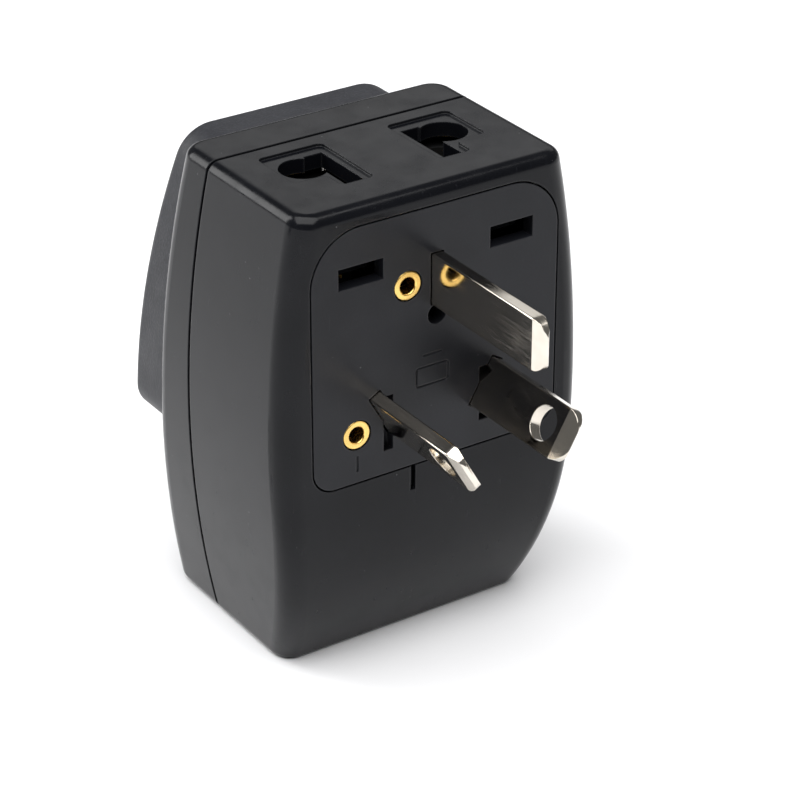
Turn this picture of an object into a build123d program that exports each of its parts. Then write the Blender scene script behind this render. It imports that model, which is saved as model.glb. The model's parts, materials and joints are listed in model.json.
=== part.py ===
from build123d import *
import math
import os

os.makedirs("parts", exist_ok=True)

# ---- overall case -------------------------------------------------------
height = 60.5            # bottom end to top end
half_mid = 20.9          # half width at the widest level
widest_z = 31.5          # level of the widest point
side_radius = 137.0      # bulge of the two long sides
rear_y = 21.7            # flat back
rear_drop = 7.0          # how far the back sweeps in at the bottom end
sweep_z = 24.0           # level where that sweep begins
part_lean = 2.2          # parting plane leans back this far over the height
ledge_low = 10.6         # front ledge stands this far forward at the bottom end
ledge_rise = 0.1         # and falls back by this much per mm of height
wall = 2.0
rear_wall = 3.4
front_wall = 3.2
end_wall = 2.2
edge_rear = 2.8          # rounding of the long back edges
edge_front = 3.0         # rounding of the front shoulders
edge_end = 1.5
seam = 0.5               # open line between the two case halves
lip_thick = 1.0
lip_reach = 1.5
fit = 0.1                # clearance between nested mouldings

# ---- socket pad ---------------------------------------------------------
pad_face_y = 14.6        # how far forward the pad face is at its lower edge
pad_slope = 0.093        # the face leans back per mm of height
pad_low = 22.4
pad_top = height - 1.2
pad_half_low = 19.9
pad_half_mid = 18.7
pad_half_top = 13.6
pad_skin = 2.2
pad_edge = 1.3           # rounding round the pad face
pad_seat = 1.2           # depth the pad skirt sinks below the ledge
skirt = 1.8
shaft_half_low = 16.6    # well behind the pad that holds the front contacts
shaft_half_top = 12.4
carrier_gap = 0.4
pad_gap = 0.3            # front contact carrier to the inside of the pad

# ---- label platform -----------------------------------------------------
plat_rise = 2.0
plat_edge = 1.6          # rounding round the platform crown
valley_w = 1.3           # shadow groove round the platform
valley_deep = 0.6
plat_half_low = 14.6
plat_corner = 2.6        # rounding of the platform's corners
plat_half_top = 16.0
label_low = 4.3
label_top = 21.4
label_half_low = 12.9
label_half_top = 14.5
label_depth = 1.3
label_groove = 0.4
label_drop = 0.05        # plate face below the platform crown
bar_rise = 0.35          # raised bars above the platform crown

# ---- universal socket outline, measured from the live and neutral line ---
uk_outer = 14.85
uk_half = 2.4
slot_in = 5.2
slot_out = 7.6
slot_up = 5.1
slot_down = 3.9
euro_pitch = 19.4
euro_radius = 2.7
euro_lift = 1.2
oval_half = 2.25
oval_up = 7.9
oval_down = 2.3
earth_half = 2.25
front_line_z = 29.7      # level of the front socket's live and neutral line
bottom_line_y = 7.8      # the bottom socket's line, measured from the seam

# ---- top outlet ---------------------------------------------------------
top_pitch = 19.0
top_radius = 2.85
top_y = 8.9
top_slot_x = 6.6
top_slot_w = 2.5
top_slot_y0 = 6.2
top_slot_y1 = 15.0
top_recess = 0.35

# ---- pin plate and pins -------------------------------------------------
plate_half = 16.6
plate_low = 26.2
plate_top = height - 2.4
plate_thick = 1.8
plate_gap = 0.22
plate_r_top = 6.5
plate_r_low = 2.8
flange = 1.6
blade_w = 6.35
blade_t = 1.6
pin_pitch = 13.72
pin_z = 34.0
earth_rise = 15.2        # earth pin above the live and neutral line
earth_z = pin_z + earth_rise
pin_len = 17.1
earth_len = 21.1
pin_tilt = 30.0
tip_corner = 2.3
tip_bevel = 1.9
pin_hole_r = 2.1
pin_hole_back = 4.8      # hole centre to the very tip
pin_fit = 0.1
rivet_fit = 0.05
foot_t = 0.8
foot_gap = 0.4           # pin feet to the opening behind the pin plate
rivet_head_r = 1.8
rivet_head_h = 0.5
rivet_sink = 0.05        # heads sit this far below the plug face
rivet_bead = 0.22
rivet_r = 1.35
rivet_hole_r = 1.0
rivet_earth_x = 3.9
rivet_side_x = pin_pitch / 2 + 3.94
rivet_side_z = pin_z - 1.7
notch_x = 3.2            # slit under the plate
root_slot_x = pin_pitch / 2 - 0.26
root_slot_w = 1.3
mark_x = 0.6             # plain frame moulded into the plate
mark_z = pin_z + 3.2
mark_w = 4.6
mark_h = 2.6
window_x0 = 7.2
window_x1 = 13.1
window_z0 = earth_z + 1.8
window_z1 = earth_z + 4.4

# ---- contacts and bus bars ----------------------------------------------
brass = 0.6
strap = 0.8
clip_deep = 6.4
earth_deep = 5.4
leaf_w = 4.2             # width of the power contact leaves
leaf_open = 3.0          # half the spread of those leaves at their root
well_gap = 0.3           # contacts to the wells round them
catch_back = 1.0         # clip catches lie this far behind the plate
base_y = 1.2             # back of the front contacts
bus_gap = 0.2            # bus bars to the opening behind the pin plate
bus_x = plate_half - flange - strap - bus_gap
tail_gap = 0.3           # bus bar tabs to the rivet tails
end_z = 13.4             # back of the bottom contacts
top_base = height - 13.3 # back of the top contacts
power_x = 10.2
earth_clip_z = 48.6
earth_clip_y = -2.6
screw_x = 10.0
screw_z = 18.6
screw_r = 0.9
screw_head_r = 2.0
screw_head_h = 1.3
post_r = 2.6


def half_width(z, inset=0.0):
    rise = side_radius - math.sqrt(side_radius**2 - (z - widest_z) ** 2)
    return half_mid - rise - inset


def ledge_y(z):
    return -ledge_low + ledge_rise * z


def part_y(z):
    return part_lean * z / height


def face_y(z):
    return -pad_face_y + pad_slope * (z - pad_low)


def slab(outline, y_front, y_rear):
    """Extrudes an outline drawn as X,Z points between two depths."""
    return extrude(Plane.XZ.offset(-y_rear) * outline, amount=y_rear - y_front)


def wedge(points, half=40.0):
    """A prism along X from Y,Z points."""
    return extrude(Plane.YZ * make_face(Polyline(*points, close=True)), amount=half, both=True)


def before(surface, shift=0.0):
    """Everything in front of a leaning plane, given as a depth at each level."""
    return wedge([(-60, -9), (surface(-9) + shift, -9), (surface(80) + shift, 80), (-60, 80)])


def behind(surface, shift=0.0):
    return wedge([(60, -9), (surface(-9) + shift, -9), (surface(80) + shift, 80), (60, 80)])


def barrel(inset, z0, z1):
    low, high = half_width(z0, inset), half_width(z1, inset)
    mid = half_width(widest_z, inset)
    edges = Line((-low, z0), (low, z0))
    edges += ThreePointArc((low, z0), (mid, widest_z), (high, z1))
    edges += Line((high, z1), (-high, z1))
    edges += ThreePointArc((-high, z1), (-mid, widest_z), (-low, z0))
    return make_face(edges)


def side_profile(back, front, z0, z1):
    """Case section seen from the side, brought in by the given walls."""
    y_rear = rear_y - back
    start = y_rear - rear_drop
    reach = (sweep_z**2 + rear_drop**2) / (2 * rear_drop)
    half_turn = math.asin(sweep_z / reach) / 2
    bulge = reach * (1 - math.cos(half_turn))
    mid_z = sweep_z - reach * math.sin(half_turn)
    edges = Line((ledge_y(0) + front, 0), (start, 0))
    edges += ThreePointArc((start, 0), (y_rear - bulge, mid_z), (y_rear, sweep_z))
    edges += Line((y_rear, sweep_z), (y_rear, height))
    edges += Line((y_rear, height), (ledge_y(height) + front, height))
    edges += Line((ledge_y(height) + front, height), (ledge_y(0) + front, 0))
    section = extrude(Plane.YZ * make_face(edges), amount=40, both=True)
    return section & Pos(0, 0, (z0 + z1) / 2) * Box(100, 100, z1 - z0)


def rounded(points, radii):
    """A closed outline of X,Z corners with a radius at each corner."""
    face = make_face(Polyline(*points, close=True))
    for (x, z), radius in zip(points, radii):
        corner = face.vertices().sort_by_distance((x, z, 0))[0]
        face = fillet(corner, radius)
    return face


def pad_outline(grow=0.0):
    low, top = pad_low - grow, pad_top + grow
    bot = Line((-pad_half_low - grow, low), (pad_half_low + grow, low))
    mid_z = low + 0.5 * (top - low)
    half_low, half_mid_pad, half_top = pad_half_low + grow, pad_half_mid + grow, pad_half_top + grow
    right = ThreePointArc((half_low, low), (half_mid_pad, mid_z), (half_top, top))
    cap = Line((half_top, top), (-half_top, top))
    left = ThreePointArc((-half_top, top), (-half_mid_pad, mid_z), (-half_low, low))
    face = make_face(bot + right + cap + left)
    face = fillet(face.vertices().group_by(Axis.Y)[-1], 5.0 + grow)
    return fillet(face.vertices().group_by(Axis.Y)[0], 3.6 + grow)


def tapered(half_low, half_top, z0, z1, radius):
    corners = [(-half_low, z0), (half_low, z0), (half_top, z1), (-half_top, z1)]
    return rounded(corners, [radius] * 4)


def plate_outline(grow=0.0):
    half, low, top = plate_half + grow, plate_low - grow, plate_top + grow
    corners = [(-half, low), (half, low), (half, top), (-half, top)]
    r_low, r_top = plate_r_low + grow, plate_r_top + grow
    return rounded(corners, [r_low, r_low, r_top, r_top])


def strip(u0, u1, v0, v1):
    return Pos((u0 + u1) / 2, (v0 + v1) / 2) * Rectangle(u1 - u0, v1 - v0)


def disc(u, v, radius):
    return Pos(u, v) * Circle(radius)


def power_holes(side):
    """Live or neutral opening: broad slot, round lobe and narrow slot in one."""
    shape = strip(slot_in, uk_outer, -uk_half, uk_half)
    shape += disc(euro_pitch / 2, euro_lift, euro_radius)
    shape += strip(slot_in, slot_out, 0, slot_up)
    shape += strip(slot_in - 0.5, slot_out, -slot_down, -0.9)
    return shape if side > 0 else mirror(shape, Plane.YZ)


def earth_holes(tall):
    """Centre openings: oval below, then round lobes with the earth slot on top."""
    if tall:
        shape = strip(-earth_half, earth_half, 19.0, 28.3)
        shape += disc(0, 20.6, 3.5)
        shape += disc(0, 14.1, 3.05)
        shape += disc(0, 10.9, 1.9)
        oval_v = oval_up
    else:
        shape = strip(-earth_half, earth_half, 11.5, 17.2)
        shape += disc(0, 12.2, 3.5)
        shape += disc(0, 7.6, 2.7)
        oval_v = 3.7
    oval = strip(-oval_half, oval_half, -oval_down + oval_half, oval_v - oval_half)
    oval += disc(0, -oval_down + oval_half, oval_half)
    oval += disc(0, oval_v - oval_half, oval_half)
    return shape, oval


def clip(width, half_open, depth, throat):
    """A spring contact: base plate and two leaves that close at the throat and flare at the mouth."""
    body = Pos(0, 0, brass / 2) * Box(2 * half_open, width, brass)
    path = [(half_open, 0), (half_open, 0.25 * depth), (throat, 0.78 * depth), (throat + 0.7, depth)]
    for side in (-1, 1):
        inner = [(side * (x - brass), z) for x, z in path]
        outer = [(side * x, z) for x, z in path]
        leaf = make_face(Polyline(*outer, *inner[::-1], close=True))
        body += extrude(Plane.XZ * leaf, amount=width / 2, both=True)
        roll = Pos(side * (throat + 0.4), 0, depth) * Rot(90, 0, 0) * Cylinder(0.55, width)
        body += roll
    return body


def front_frame(x, z, y):
    return Plane(origin=(x, y, z), x_dir=(1, 0, 0), z_dir=(0, -1, 0))


def down_frame(x, y, z):
    return Plane(origin=(x, y, z), x_dir=(1, 0, 0), z_dir=(0, 0, -1))


def up_frame(x, y, z):
    return Plane(origin=(x, y, z), x_dir=(1, 0, 0), z_dir=(0, 0, 1))


def block(x0, x1, y0, y1, z0, z1):
    return Pos((x0 + x1) / 2, (y0 + y1) / 2, (z0 + z1) / 2) * Box(x1 - x0, y1 - y0, z1 - z0)


def rod_y(x, z, radius, y0, y1):
    return Pos(x, (y0 + y1) / 2, z) * Rot(90, 0, 0) * Cylinder(radius, y1 - y0)


# ---- case solid and its hollow -----------------------------------------
case = slab(barrel(0, 0, height), -40, 40) & side_profile(0, 0, 0, height)
long_rear = [e for e in case.edges() if e.center().Y > rear_y - rear_drop and abs(e.center().X) > 12]
long_rear = [e for e in long_rear if e.bounding_box().size.Z > 15]
case = fillet(long_rear, edge_rear)
long_front = [e for e in case.edges() if e.center().Y < -4 and e.bounding_box().size.Z > 40]
case = fillet(long_front, edge_front)
ends = [e for e in case.edges() if abs(e.center().Z) < 0.01 or abs(e.center().Z - height) < 0.01]
case = fillet(ends, edge_end)

hollow = slab(barrel(wall, end_wall, height - end_wall), -40, 40)
hollow = hollow & side_profile(rear_wall, front_wall, end_wall, height - end_wall)

front_zone = before(part_y, -seam / 2)
rear_zone = behind(part_y, seam / 2)
seam_front = before(part_y, seam / 2)
lip_zone = behind(part_y, -lip_reach) & before(part_y, 1)

# ---- socket cutters -----------------------------------------------------
tall_earth, tall_oval = earth_holes(True)
short_earth, short_oval = earth_holes(False)
face_cuts = [power_holes(1), power_holes(-1), tall_earth, tall_oval]
end_cuts = [power_holes(1), power_holes(-1), short_earth, short_oval]
front_tool = Part()
for cut in face_cuts:
    front_tool += extrude(front_frame(0, front_line_z, 2.0) * cut, amount=24)
bottom_tool = Part()
for cut in end_cuts:
    bottom_tool += extrude(down_frame(0, bottom_line_y, 12.5) * cut, amount=16)

top_tool = Part()
top_relief = Part()
for side in (-1, 1):
    hole = disc(side * top_pitch / 2, top_y, top_radius)
    x0, x1 = top_slot_x - top_slot_w / 2, top_slot_x + top_slot_w / 2
    hole += strip(min(side * x0, side * x1), max(side * x0, side * x1), top_slot_y0, top_slot_y1)
    top_tool += extrude(up_frame(0, 0, height - 9) * hole, amount=12)
    inner, outer = top_slot_x - top_slot_w / 2 - 1.0, top_pitch / 2 + top_radius + 0.6
    u0, u1 = sorted((side * inner, side * outer))
    relief = strip(u0, u1, top_slot_y0 - 1.7, top_y + 3.6)
    u0, u1 = sorted((side * inner, side * (x1 + 0.9)))
    relief += strip(u0, u1, top_y, top_slot_y1 + 0.7)
    relief = fillet(relief.vertices(), 0.8)
    top_relief += extrude(up_frame(0, 0, height - top_recess) * relief, amount=4)

# ---- front shell --------------------------------------------------------
platform = slab(tapered(plat_half_low, plat_half_top, 0, pad_low + 6, plat_corner), -16, -4)
platform = platform & behind(ledge_y, -plat_rise) & block(-30, 30, -30, 0, 0, 40)
crown = [f for f in platform.faces() if f.normal_at().Y < -0.9][0]
platform = fillet(crown.edges(), plat_edge)

front_shell = (case & front_zone) - hollow
valley = slab(tapered(plat_half_low + valley_w, plat_half_top + valley_w, -6, pad_low + 6, 2.5), -16, -4)
valley = valley & before(ledge_y, valley_deep) & block(-30, 30, -30, 0, -1, 40)
front_shell = front_shell - valley
front_shell = front_shell + (platform & front_zone)
front_shell = front_shell - hollow

front_shell = front_shell - (slab(pad_outline(fit), -60, 10) & before(ledge_y, pad_seat))
shaft = slab(tapered(shaft_half_low, shaft_half_top, pad_low + 2.2, pad_top - 2.4, 2.0), -60, 10)
front_shell = front_shell - (shaft & before(ledge_y, front_wall + 1))

label_zone = before(ledge_y, label_depth - plat_rise)
pocket = slab(tapered(label_half_low, label_half_top, label_low, label_top, 2.6), -60, 0) & label_zone
front_shell = front_shell - pocket
screw_seat = ledge_y(screw_z) + 1.4
for side in (-1, 1):
    front_shell += rod_y(side * screw_x, screw_z, post_r, ledge_y(screw_z) + 1, 2.4)
    front_shell -= rod_y(side * screw_x, screw_z, screw_r + 0.45, -20, 4)
    front_shell -= rod_y(side * screw_x, screw_z, screw_head_r + 0.3, -20, screw_seat)
front_shell = front_shell - bottom_tool

# ---- label plate with plain raised bars ---------------------------------
low_half, top_half = label_half_low - label_groove, label_half_top - label_groove
label_face = tapered(low_half, top_half, label_low + label_groove, label_top - label_groove, 2.2)
label_body = slab(label_face, -60, 0) & label_zone
label_plate = label_body & behind(ledge_y, label_drop - plat_rise)
bars = Part()
bar_rows = ((16.7, 4.2, 0.85, 1.1, 11), (11.6, 2.7, 0.75, 0.95, 12), (7.6, 2.5, 0.75, 0.95, 9))
for row_z, tall, wide, gap, count in bar_rows:
    pitch = wide + gap
    for i in range(count):
        place = Pos((i - (count - 1) / 2) * pitch, row_z)
        bars += slab(place * RectangleRounded(wide, tall, 0.25), -60, 0)
bars = bars & behind(ledge_y, -plat_rise - bar_rise) & before(ledge_y, 0.5 - plat_rise)
label_plate = label_plate + bars

# ---- rear cover ---------------------------------------------------------
rear_cover = (case & rear_zone) - hollow
lip = slab(barrel(wall + fit, end_wall + fit, height - end_wall - fit), -40, 40)
lip = lip - slab(barrel(wall + lip_thick, end_wall + lip_thick, height - end_wall - lip_thick), -41, 41)
root = slab(barrel(wall - 0.3, end_wall - 0.3, height - end_wall + 0.3), -40, 40)
root = root - slab(barrel(wall + lip_thick, end_wall + lip_thick, height - end_wall - lip_thick), -41, 41)
rear_cover = rear_cover + (lip & lip_zone & seam_front) + (root & lip_zone & rear_zone)
rear_cover = rear_cover - slab(plate_outline(plate_gap), rear_y - plate_thick, 60)
rear_cover = rear_cover - slab(plate_outline(-flange), 10, 60)
for side in (-1, 1):
    x0, x1 = sorted((side * window_x0, side * window_x1))
    y0, y1 = rear_y - rear_wall, rear_y - plate_thick - catch_back
    rear_cover += block(x0 + 0.4, x1 - 0.4, y0, y1, window_z0 + 0.5, plate_top - 1)
    rear_cover += rod_y(side * screw_x, screw_z, post_r, 2.6, rear_y - 2)
    rear_cover -= rod_y(side * screw_x, screw_z, screw_r + 0.05, 2, 13)
slit = block(notch_x - 0.35, notch_x + 0.35, rear_y - 0.9, 60, plate_low - 3.4, plate_low + 0.1)
rear_cover = rear_cover - slit
rear_cover = rear_cover - top_tool - top_relief - bottom_tool

# ---- socket pad ---------------------------------------------------------
pad = slab(pad_outline(), -60, 10) & behind(face_y) & before(ledge_y, pad_seat)
face_edges = [f for f in pad.faces() if f.normal_at().Y < -0.9][0].edges()
pad = fillet(face_edges, pad_edge)
pad = pad - (slab(pad_outline(-skirt), -60, 10) & behind(face_y, pad_skin))
pad = pad - front_tool
gate = rod_y(1.0, 25.0, 0.55, face_y(25.0) - 1, face_y(25.0) + 0.3)
pad = pad - gate


def raised(sketch, x, z, rise=0.22):
    """A low raised mark on the pad face."""
    plane = Plane(origin=(x, face_y(z), z), x_dir=(1, 0, 0), z_dir=(0, -1, pad_slope))
    return extrude(plane * sketch, amount=rise) + extrude(plane * sketch, amount=-0.3)


earth_mark = strip(-0.2, 0.2, 0, 2.6) + strip(-2.2, 2.2, -0.2, 0.2)
earth_mark += strip(-1.5, 1.5, -1.6, -1.2) + strip(-0.8, 0.8, -3.0, -2.6)
pad = pad + raised(earth_mark, -8.2, 52.2)
wave = ThreePointArc((-2.2, 0), (-1.1, 1.1), (0, 0)) + ThreePointArc((0, 0), (1.1, -1.1), (2.2, 0))
wave_mark = Sketch()
for edge in wave.edges():
    wave_mark += trace(edge, 0.45)
pad = pad + raised(wave_mark, 13.6, 41.8)

# ---- pin plate ----------------------------------------------------------
plate = slab(plate_outline(), rear_y - plate_thick, rear_y)
plate = plate - block(-window_x1, -window_x0, 0, 60, window_z0, window_z1)
plate = plate - block(window_x0, window_x1, 0, 60, window_z0, window_z1)
blade_hole = Rectangle(blade_t + 2 * pin_fit, blade_w + 2 * pin_fit)
plate = plate - slab(Pos(0, earth_z) * blade_hole, 0, 60)
plate = plate - rod_y(0, earth_z - blade_w / 2 - 1.3, 1.25, 0, 60)
for side in (-1, 1):
    plate = plate - slab(Pos(side * pin_pitch / 2, pin_z) * Rot(0, 0, side * -pin_tilt) * blade_hole, 0, 60)
    slot_x = side * root_slot_x
    root_slot = strip(slot_x - root_slot_w / 2, slot_x + root_slot_w / 2, pin_z - 4.8, pin_z + 2.2)
    plate = plate - slab(root_slot, rear_y - 1.2, 60)
rivet_places = [(rivet_earth_x, earth_z), (-rivet_side_x, rivet_side_z), (rivet_side_x, rivet_side_z)]
head_y1 = rear_y - rivet_sink
head_y0 = head_y1 - rivet_head_h
for x, z in rivet_places:
    plate = plate - rod_y(x, z, rivet_r + rivet_fit, 0, 60)
    plate = plate - rod_y(x, z, rivet_head_r + 2 * rivet_fit, head_y0, 60)
mark = RectangleRounded(mark_w, mark_h, 0.5) - RectangleRounded(mark_w - 0.5, mark_h - 0.5, 0.3)
mark = Pos(mark_x, mark_z) * mark + strip(mark_x - 1.3, mark_x + 1.3, mark_z + 2.5, mark_z + 2.8)
plate = plate - slab(mark, rear_y - 0.15, rear_y + 1)
plate = plate - block(rivet_side_x - 0.15, rivet_side_x + 0.15, rear_y - 0.2, 60, 27.6, 29.6)

# ---- pins ---------------------------------------------------------------
foot_y0 = rear_y - plate_thick - foot_t
foot_y1 = rear_y - plate_thick


def blade(length, pierced):
    """A flat pin standing along +Y with a bevelled tip, its root behind the plate."""
    outline = strip(-blade_w / 2, blade_w / 2, foot_y0 - rear_y, length)
    outline = fillet(outline.vertices().group_by(Axis.Y)[-1], tip_corner)
    if pierced:
        outline -= disc(0, length - pin_hole_back, pin_hole_r)
    half = blade_t / 2
    nose = [(foot_y0 - rear_y, -half), (length - tip_bevel, -half), (length - 0.4, -half + 0.45), (length, 0)]
    mirrored = [(x, -y) for x, y in reversed(nose[:-1])]
    side_view = make_face(Polyline(*nose, *mirrored, close=True))
    flat = extrude(Plane.XY * outline, amount=half, both=True)
    flat = flat & extrude(Plane.YZ * side_view, amount=blade_w, both=True)
    rim = [e for e in flat.edges() if abs(abs(e.center().Z) - half) < 0.01]
    rim = [e for e in rim if abs(e.center().X) > blade_w / 2 - 0.01]
    flat = fillet(rim, 0.2)
    return Pos(0, rear_y, 0) * Rot(0, 90, 0) * flat


earth_pin = Pos(0, 0, earth_z) * blade(earth_len, False)
foot = block(-6.6, rivet_earth_x + 2.4, foot_y0, foot_y1, earth_z - 2.6, earth_z + 2.6)
earth_pin = earth_pin + (foot - rod_y(rivet_earth_x, earth_z, rivet_r + rivet_fit, 0, 60))
pins = []
for side in (-1, 1):
    pin = Pos(side * pin_pitch / 2, 0, pin_z) * Rot(0, side * pin_tilt, 0) * blade(pin_len, True)
    x0, x1 = sorted((side * (pin_pitch / 2 - 1.66), side * (plate_half - flange - foot_gap)))
    foot = block(x0, x1, foot_y0, foot_y1, rivet_side_z - 2.4, rivet_side_z + 3.4)
    foot = foot - rod_y(side * rivet_side_x, rivet_side_z, rivet_r + rivet_fit, 0, 60)
    pins.append(pin + foot)

rivets = []
for x, z in rivet_places:
    tube = rod_y(x, z, rivet_r, foot_y0 - 0.5, head_y1)
    head = rod_y(x, z, rivet_head_r, head_y0, head_y1)
    tail = rod_y(x, z, rivet_head_r, foot_y0 - 0.5, foot_y0)
    eyelet = tube + head + tail - rod_y(x, z, rivet_hole_r, 0, 60)
    rim = [e for e in eyelet.edges() if e.center().Y > head_y1 - 0.01]
    rivets.append(fillet(rim, rivet_bead))

# ---- contacts -----------------------------------------------------------
side_clip = Rot(0, 0, 90) * clip(leaf_w, leaf_open, clip_deep, 1.3)
front_live = front_frame(power_x, front_line_z, base_y) * side_clip
front_neutral = front_frame(-power_x, front_line_z, base_y) * side_clip
front_earth = front_frame(0, earth_clip_z, base_y) * clip(12.0, 2.6, earth_deep, 1.5)
end_clip = clip(leaf_w, leaf_open, 7.0, 1.3)
bottom_live = down_frame(power_x, bottom_line_y, end_z) * end_clip
bottom_neutral = down_frame(-power_x, bottom_line_y, end_z) * end_clip
bottom_earth = down_frame(0, earth_clip_y, end_z) * clip(6.0, 2.6, 7.0, 1.5)
top_clip = clip(6.0, 2.6, 6.6, 1.2)
top_x = top_pitch / 2 - 0.3
top_clip_y = top_y + 0.5
top_live = up_frame(top_x, top_clip_y, top_base) * top_clip
top_neutral = up_frame(-top_x, top_clip_y, top_base) * top_clip


def side_bus(side):
    """Strap that joins one pin to its three contacts."""
    a, b = bus_x, bus_x + strap
    bar = block(a, b, base_y, 9.0, end_z, top_base)
    bar += block(a, b, base_y, foot_y0, 30.4, 35.2)
    tab_x = rivet_side_x + rivet_head_r + tail_gap
    bar += block(tab_x, b, foot_y0 - strap, foot_y0, 30.4, 35.2)
    bar += block(8.4, b, base_y, base_y + strap, front_line_z - 1.8, front_line_z + 1.8)
    bar += block(8.4, b, 6.0, 9.0, end_z, end_z + strap)
    bar += block(8.0, b, 7.6, 9.0, top_base - strap, top_base)
    return bar if side > 0 else mirror(bar, Plane.YZ)


live_bus = side_bus(1)
neutral_bus = side_bus(-1)
earth_bus = block(-5.4, -4.6, base_y, foot_y0, earth_z - 2.4, earth_z + 1.4)
earth_bus += block(-5.4, -2.2, foot_y0 - strap, foot_y0, earth_z - 2.4, earth_z + 1.4)
earth_bus += block(-5.4, 2.0, base_y, base_y + strap, earth_z - 2.4, earth_z + 1.4)
earth_bus += block(-5.4, -4.6, base_y, base_y + 3.4, end_z, earth_z)
earth_bus += block(-5.4, 2.0, -4.4, base_y + 3.4, end_z, end_z + strap)

# ---- insulating carriers ------------------------------------------------
low_half, top_half = shaft_half_low - carrier_gap, shaft_half_top - carrier_gap
carrier_front = slab(tapered(low_half, top_half, pad_low + 2.6, pad_top - 2.8, 1.6), -8.9, base_y - 0.1)
carrier_front = carrier_front & slab(barrel(wall + lip_thick + 0.3, 0, height), -40, 40)
carrier_front = carrier_front & behind(face_y, pad_skin + pad_gap)
carrier_front = carrier_front - front_tool
well_half, well_tall = leaf_w / 2 + well_gap, 2 * (leaf_open + well_gap)
power_wells = [(power_x, front_line_z, well_half, well_tall), (-power_x, front_line_z, well_half, well_tall)]
for x, z, half, tall in power_wells + [(0, earth_clip_z, 2.9, 12.6)]:
    carrier_front = carrier_front - block(x - half, x + half, -8.4, 9, z - tall / 2, z + tall / 2)

carrier_bottom = block(-13.9, 13.9, -6.6, 11.4, end_wall + lip_thick + 0.3, end_z - 0.2)
carrier_bottom = carrier_bottom & slab(barrel(wall + lip_thick + 0.3, 2, 40), -40, 40)
carrier_bottom = carrier_bottom & side_profile(rear_wall + 0.3, front_wall + 0.3, 0, 40)
carrier_bottom = carrier_bottom - bottom_tool
power_wells = [(power_x, bottom_line_y, 3.3, 4.8), (-power_x, bottom_line_y, 3.3, 4.8)]
for x, y, half, tall in power_wells + [(0, earth_clip_y, 2.9, 6.6)]:
    carrier_bottom = carrier_bottom - block(x - half, x + half, y - tall / 2, y + tall / 2, 5.6, 20)

carrier_top = block(-13.2, 13.2, 4.6, 16.6, height - 9.5, height - end_wall - lip_thick - 0.3)
carrier_top = carrier_top & slab(barrel(wall + lip_thick + 0.3, 0, height), -40, 40)
carrier_top = carrier_top - top_tool
for x in (top_x, -top_x):
    carrier_top = carrier_top - block(x - 2.9, x + 2.9, 6.2, 12.6, 40, height - 6.1)

# ---- case screws --------------------------------------------------------
screws = []
for side in (-1, 1):
    x = side * screw_x
    screw = rod_y(x, screw_z, screw_head_r, screw_seat - screw_head_h, screw_seat)
    screw += rod_y(x, screw_z, screw_r, screw_seat, 12.0)
    y0, y1 = screw_seat - screw_head_h - 0.1, screw_seat - screw_head_h + 0.6
    screw -= block(x - 1.4, x + 1.4, y0, y1, screw_z - 0.25, screw_z + 0.25)
    screw -= block(x - 0.25, x + 0.25, y0, y1, screw_z - 1.4, screw_z + 1.4)
    screws.append(screw)

nodes = {
    "front_shell": front_shell,
    "rear_cover": rear_cover,
    "socket_pad": pad,
    "label_plate": label_plate,
    "pin_plate": plate,
    "earth_pin": earth_pin,
    "live_pin": pins[1],
    "neutral_pin": pins[0],
    "pin_rivets": rivets,
    "front_live_contact": front_live,
    "front_neutral_contact": front_neutral,
    "front_earth_contact": front_earth,
    "bottom_live_contact": bottom_live,
    "bottom_neutral_contact": bottom_neutral,
    "bottom_earth_contact": bottom_earth,
    "top_live_contact": top_live,
    "top_neutral_contact": top_neutral,
    "live_bus_bar": live_bus,
    "neutral_bus_bar": neutral_bus,
    "earth_bus_bar": earth_bus,
    "front_contact_carrier": carrier_front,
    "bottom_contact_carrier": carrier_bottom,
    "top_contact_carrier": carrier_top,
    "case_screws": screws,
}

# the origin lies on the plug face, midway between the live and neutral pins
to_origin = Pos(0, -rear_y, -pin_z)
for name, shape in nodes.items():
    pieces = [to_origin * piece for piece in (shape if isinstance(shape, list) else [shape])]
    export_step(pieces[0] if len(pieces) == 1 else Compound(children=pieces), f"parts/{name}.step")
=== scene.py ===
import json
import math

import bpy
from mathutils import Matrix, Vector


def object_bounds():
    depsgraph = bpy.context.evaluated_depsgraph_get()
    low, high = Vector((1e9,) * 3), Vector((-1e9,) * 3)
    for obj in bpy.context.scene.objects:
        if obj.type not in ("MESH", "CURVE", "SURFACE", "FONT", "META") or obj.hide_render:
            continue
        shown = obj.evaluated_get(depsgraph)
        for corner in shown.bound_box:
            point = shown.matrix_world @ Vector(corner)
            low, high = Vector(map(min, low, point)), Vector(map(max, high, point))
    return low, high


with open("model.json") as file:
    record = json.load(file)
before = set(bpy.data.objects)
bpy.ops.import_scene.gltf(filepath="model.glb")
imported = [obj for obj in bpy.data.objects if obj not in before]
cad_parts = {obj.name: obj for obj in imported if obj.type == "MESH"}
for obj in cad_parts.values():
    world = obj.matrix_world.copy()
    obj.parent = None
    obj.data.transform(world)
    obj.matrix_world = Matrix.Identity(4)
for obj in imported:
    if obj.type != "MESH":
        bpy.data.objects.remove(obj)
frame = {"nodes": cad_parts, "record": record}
cad_low, cad_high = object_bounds()

MM = 0.001

# ---- camera ---------------------------------------------------------------
VIEW_AZIMUTH = 146.4
VIEW_ELEVATION = 28.4
VIEW_DISTANCE = 0.343
LENS = 132.0

# ---- light and floor ------------------------------------------------------
WORLD_STRENGTH = 0.14
FLOOR_REACH = 4.0

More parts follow.
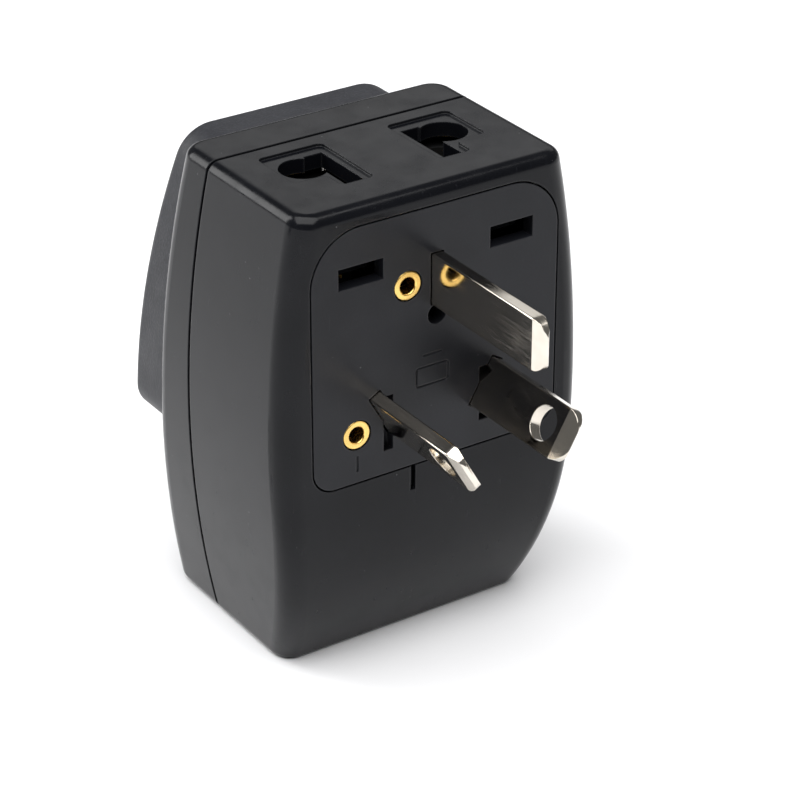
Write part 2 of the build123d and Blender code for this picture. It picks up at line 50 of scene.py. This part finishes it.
# ---- marks of making and use, and a painted edge highlight ----------------
SCUFF_TONE = (0.060, 0.062, 0.070)
DUST_TONE = (0.22, 0.22, 0.23)
GRIT_TONE = (0.060, 0.063, 0.074)
# lighter colour of the edge bands: rubbed wear, and on the label a painted highlight
WORN_AND_HIGHLIGHT_TONE = (0.11, 0.112, 0.12)
WORN_AND_HIGHLIGHT_WIDTH = 0.35       # lighter band along edges, mm: rubbed wear, and on the label a painted highlight
PLASTIC_EDGE = 0.18     # softening of moulded edges, mm
METAL_EDGE = 0.12       # softening of stamped edges, mm


def direction(azimuth, elevation):
    a, e = math.radians(azimuth), math.radians(elevation)
    return Vector((math.sin(a) * math.cos(e), -math.cos(a) * math.cos(e), math.sin(e)))


# ---- node helpers ---------------------------------------------------------
def shader(name, color, roughness, metallic=0.0, ior=1.45):
    material = bpy.data.materials.new(name)
    material.use_nodes = True
    tree = material.node_tree
    surface = tree.nodes["Principled BSDF"]
    surface.inputs["Base Color"].default_value = (*color, 1)
    surface.inputs["Roughness"].default_value = roughness
    surface.inputs["Metallic"].default_value = metallic
    surface.inputs["IOR"].default_value = ior
    return material, tree, surface


def noise(tree, size_mm, detail=3.0, stretch=(1, 1, 1), shift=0.0):
    """Noise whose blobs are about size_mm across, fixed to the object."""
    coords = tree.nodes.new("ShaderNodeTexCoord")
    place = tree.nodes.new("ShaderNodeMapping")
    place.inputs["Scale"].default_value = stretch
    place.inputs["Location"].default_value = (shift, shift * 0.7, shift * 1.3)
    tree.links.new(coords.outputs["Object"], place.inputs["Vector"])
    texture = tree.nodes.new("ShaderNodeTexNoise")
    texture.inputs["Scale"].default_value = 1 / (size_mm * MM)
    texture.inputs["Detail"].default_value = detail
    tree.links.new(place.outputs["Vector"], texture.inputs["Vector"])
    return texture.outputs["Fac"]


def cells(tree, size_mm):
    """Distance to scattered points about size_mm apart."""
    coords = tree.nodes.new("ShaderNodeTexCoord")
    texture = tree.nodes.new("ShaderNodeTexVoronoi")
    texture.inputs["Scale"].default_value = 1 / (size_mm * MM)
    tree.links.new(coords.outputs["Object"], texture.inputs["Vector"])
    return texture.outputs["Distance"]


def remap(tree, value, low, high, to_low, to_high):
    """Stretches low..high to to_low..to_high, clamped at both ends."""
    node = tree.nodes.new("ShaderNodeMapRange")
    node.inputs["From Min"].default_value = low
    node.inputs["From Max"].default_value = high
    node.inputs["To Min"].default_value = to_low
    node.inputs["To Max"].default_value = to_high
    tree.links.new(value, node.inputs["Value"])
    return node.outputs["Result"]


def combine(tree, operation, a, b):
    node = tree.nodes.new("ShaderNodeMath")
    node.operation = operation
    node.use_clamp = True
    for socket, value in zip(node.inputs, (a, b)):
        if isinstance(value, float):
            socket.default_value = value
        else:
            tree.links.new(value, socket)
    return node.outputs["Value"]


def blend_color(tree, factor, a, b):
    node = tree.nodes.new("ShaderNodeMix")
    node.data_type = "RGBA"
    tree.links.new(factor, node.inputs["Factor"])
    for socket, value in zip((node.inputs[6], node.inputs[7]), (a, b)):
        if isinstance(value, tuple):
            socket.default_value = (*value, 1)
        else:
            tree.links.new(value, socket)
    return node.outputs[2]


def bump(tree, height, depth_mm, under=None):
    node = tree.nodes.new("ShaderNodeBump")
    node.inputs["Strength"].default_value = 1.0
    node.inputs["Distance"].default_value = depth_mm * MM
    tree.links.new(height, node.inputs["Height"])
    if under is not None:
        tree.links.new(under, node.inputs["Normal"])
    return node.outputs["Normal"]


def rounded_edges(tree, radius_mm):
    node = tree.nodes.new("ShaderNodeBevel")
    node.samples = 6
    node.inputs["Radius"].default_value = radius_mm * MM
    return node.outputs["Normal"]


def edge_mask(tree, radius_mm, soft):
    """1 along edges, 0 on open faces."""
    wide = rounded_edges(tree, radius_mm)
    here = tree.nodes.new("ShaderNodeNewGeometry")
    dot = tree.nodes.new("ShaderNodeVectorMath")
    dot.operation = "DOT_PRODUCT"
    tree.links.new(wide, dot.inputs[0])
    tree.links.new(here.outputs["Normal"], dot.inputs[1])
    return remap(tree, dot.outputs["Value"], 1.0, 1.0 - soft, 0.0, 1.0)


# ---- materials ------------------------------------------------------------
def moulded(name, color, gloss, sheen, grain_mm, grain_depth, ripple_depth, wear_and_highlight):
    """Injection-moulded plastic: tool grain, sink ripple, scuffs, dust, and a lighter edge band that is
    rubbed wear at low strength and a painted highlight at high strength.
    """
    material, tree, surface = shader(name, color, gloss)
    surface.inputs["Specular IOR Level"].default_value = sheen
    lighter = tuple(c * 1.5 + 0.002 for c in color)
    tone = blend_color(tree, remap(tree, noise(tree, 9.0, 2.0), 0.35, 0.7, 0.0, 0.6), color, lighter)
    scuffs = remap(tree, noise(tree, 0.5, 5.0, (1, 1, 0.10), 3.0), 0.64, 0.78, 0.0, 1.0)
    tone = blend_color(tree, combine(tree, "MULTIPLY", scuffs, 0.10), tone, SCUFF_TONE)
    specks = remap(tree, cells(tree, 1.5), 0.06, 0.03, 0.0, 1.0)
    patches = remap(tree, noise(tree, 4.0, 1.0, shift=7.0), 0.55, 0.62, 0.0, 1.0)
    dust = combine(tree, "MULTIPLY", specks, patches)
    tone = blend_color(tree, combine(tree, "MULTIPLY", dust, 0.5), tone, DUST_TONE)
    grit = remap(tree, noise(tree, grain_mm, 2.0, shift=9.0), 0.48, 0.66, 0.0, min(1.0, grain_depth * 6))
    tone = blend_color(tree, grit, tone, GRIT_TONE)
    # lighter edge band: rubbed wear on most parts; at high strength, as on the label, a painted
    # highlight
    edges = combine(tree, "MULTIPLY", edge_mask(tree, WORN_AND_HIGHLIGHT_WIDTH, 0.12), wear_and_highlight)
    tone = blend_color(tree, edges, tone, WORN_AND_HIGHLIGHT_TONE)
    tree.links.new(tone, surface.inputs["Base Color"])
    rough = remap(tree, noise(tree, 3.0, 4.0, shift=11.0), 0.3, 0.7, gloss - 0.05, gloss + 0.06)
    rough = combine(tree, "ADD", rough, combine(tree, "MULTIPLY", scuffs, 0.12))
    tree.links.new(rough, surface.inputs["Roughness"])
    normal = rounded_edges(tree, PLASTIC_EDGE)
    normal = bump(tree, noise(tree, 7.0, 1.0, shift=5.0), ripple_depth, normal)
    normal = bump(tree, noise(tree, grain_mm, 2.0, shift=9.0), grain_depth, normal)
    tree.links.new(normal, surface.inputs["Normal"])
    return material


def metal(name, color, shine, stretch, scratch_depth, tarnish, dull):
    """Plated or bare metal with draw lines along one direction and patches of tarnish."""
    material, tree, surface = shader(name, color, shine, 1.0)
    stain = remap(tree, noise(tree, 3.2, 4.0, shift=2.0), 0.45, 0.75, 0.0, dull)
    tone = blend_color(tree, stain, color, tarnish)
    tree.links.new(tone, surface.inputs["Base Color"])
    lines = noise(tree, 0.22, 4.0, stretch, 6.0)
    rough = remap(tree, lines, 0.35, 0.72, shine - 0.04, shine + 0.09)
    rough = combine(tree, "ADD", rough, combine(tree, "MULTIPLY", stain, 0.35))
    tree.links.new(rough, surface.inputs["Roughness"])
    normal = rounded_edges(tree, METAL_EDGE)
    normal = bump(tree, noise(tree, 2.4, 2.0, shift=4.0), 0.003, normal)
    normal = bump(tree, lines, scratch_depth, normal)
    tree.links.new(normal, surface.inputs["Normal"])
    return material


MATERIALS = {
    "case": moulded(
        "case", (0.0028, 0.0031, 0.0044), gloss=0.20, sheen=0.22,
        grain_mm=0.5, grain_depth=0.0012, ripple_depth=0.012, wear_and_highlight=0.12,
    ),
    "pad": moulded(
        "pad", (0.0130, 0.0137, 0.0172), gloss=0.46, sheen=0.40,
        grain_mm=0.24, grain_depth=0.045, ripple_depth=0.006, wear_and_highlight=0.14,
    ),
    # label: the strong lighter edge band here is a painted highlight along the raised ribs and rim, not
    # wear
    "label": moulded(
        "label", (0.0050, 0.0054, 0.0075), gloss=0.30, sheen=0.42,
        grain_mm=0.30, grain_depth=0.010, ripple_depth=0.006, wear_and_highlight=0.95,
    ),
    "back_plate": moulded(
        "back_plate", (0.0066, 0.0071, 0.0094), gloss=0.33, sheen=0.28,
        grain_mm=0.3, grain_depth=0.004, ripple_depth=0.006, wear_and_highlight=0.08,
    ),
    # insulator: its own black plastic, made darker than the case as painted shade so the socket openings
    # read black
    "insulator": moulded(
        "insulator", (0.0018, 0.0018, 0.0020), gloss=0.70, sheen=0.20,
        grain_mm=0.3, grain_depth=0.010, ripple_depth=0.004, wear_and_highlight=0.0,
    ),
    "nickel": metal(
        "nickel", (0.74, 0.69, 0.61), shine=0.10, stretch=(1, 0.06, 1),
        scratch_depth=0.0006, tarnish=(0.40, 0.34, 0.26), dull=0.30,
    ),
    "brass": metal(
        "brass", (0.90, 0.62, 0.20), shine=0.20, stretch=(1, 1, 1),
        scratch_depth=0.0015, tarnish=(0.45, 0.26, 0.07), dull=0.45,
    ),
    # earth_contact: steel contact, toned darker than plain metal as painted shade deep inside the earth
    # holes
    "earth_contact": metal(
        "earth_contact", (0.34, 0.325, 0.30), shine=0.32, stretch=(1, 0.1, 1),
        scratch_depth=0.002, tarnish=(0.12, 0.11, 0.09), dull=0.5,
    ),
    "screw_steel": metal(
        "screw_steel", (0.60, 0.60, 0.60), shine=0.30, stretch=(1, 1, 1),
        scratch_depth=0.002, tarnish=(0.30, 0.30, 0.30), dull=0.4,
    ),
}
for subpart in frame["record"]["subparts"]:
    piece = frame["nodes"][subpart["node"]]
    for holder in piece.material_slots:
        holder.material = MATERIALS[subpart["material_slot"]]


# ---- floor ----------------------------------------------------------------
def floor():
    z = cad_low[2]
    r = FLOOR_REACH
    mesh = bpy.data.meshes.new("floor")
    mesh.from_pydata([(-r, -r, z), (r, -r, z), (r, r, z), (-r, r, z)], [], [(0, 1, 2, 3)])
    plane = bpy.data.objects.new("floor", mesh)
    bpy.context.scene.collection.objects.link(plane)
    material, tree, surface = shader("floor", (0.92, 0.92, 0.93), 0.7)
    surface.inputs["Specular IOR Level"].default_value = 0.15
    mesh.materials.append(material)


floor()


# ---- camera and light -----------------------------------------------------
center = (Vector(cad_low) + Vector(cad_high)) / 2
toward_camera = direction(VIEW_AZIMUTH, VIEW_ELEVATION)
camera_data = bpy.data.cameras.new("camera")
camera_data.lens = LENS
camera_data.clip_start = 0.01
camera = bpy.data.objects.new("camera", camera_data)
camera.location = center + VIEW_DISTANCE * toward_camera
camera.rotation_euler = toward_camera.to_track_quat("Z", "Y").to_euler()
bpy.context.scene.collection.objects.link(camera)
bpy.context.scene.camera = camera

right = Vector((0, 0, 1)).cross(toward_camera).normalized()
ahead = -Vector((toward_camera.x, toward_camera.y, 0)).normalized()
up = Vector((0, 0, 1))


def softbox(name, to_right, to_ahead, to_up, width, height, power):
    """A rectangular light aimed at the object, placed by how the camera sees it, in metres."""
    data = bpy.data.lights.new(name, "AREA")
    data.shape = "RECTANGLE"
    data.size, data.size_y = width, height
    data.energy = power
    light = bpy.data.objects.new(name, data)
    light.location = center + right * to_right + ahead * to_ahead + up * to_up
    aim = light.location - center
    light.rotation_euler = aim.to_track_quat("Z", "Y").to_euler()
    bpy.context.scene.collection.objects.link(light)


softbox("overhead", -0.05, -0.30, 1.0, 1.5, 1.2, 23.0)
softbox("behind", 0.15, 1.2, 0.66, 1.3, 0.45, 1.3)
softbox("side", -0.80, 0.30, 0.40, 0.35, 0.7, 4.0)

world = bpy.data.worlds.new("studio")
world.use_nodes = True
world.node_tree.nodes["Background"].inputs["Color"].default_value = (1, 1, 1, 1)
world.node_tree.nodes["Background"].inputs["Strength"].default_value = WORLD_STRENGTH
bpy.context.scene.world = world
bpy.context.scene.view_settings.view_transform = "Standard"
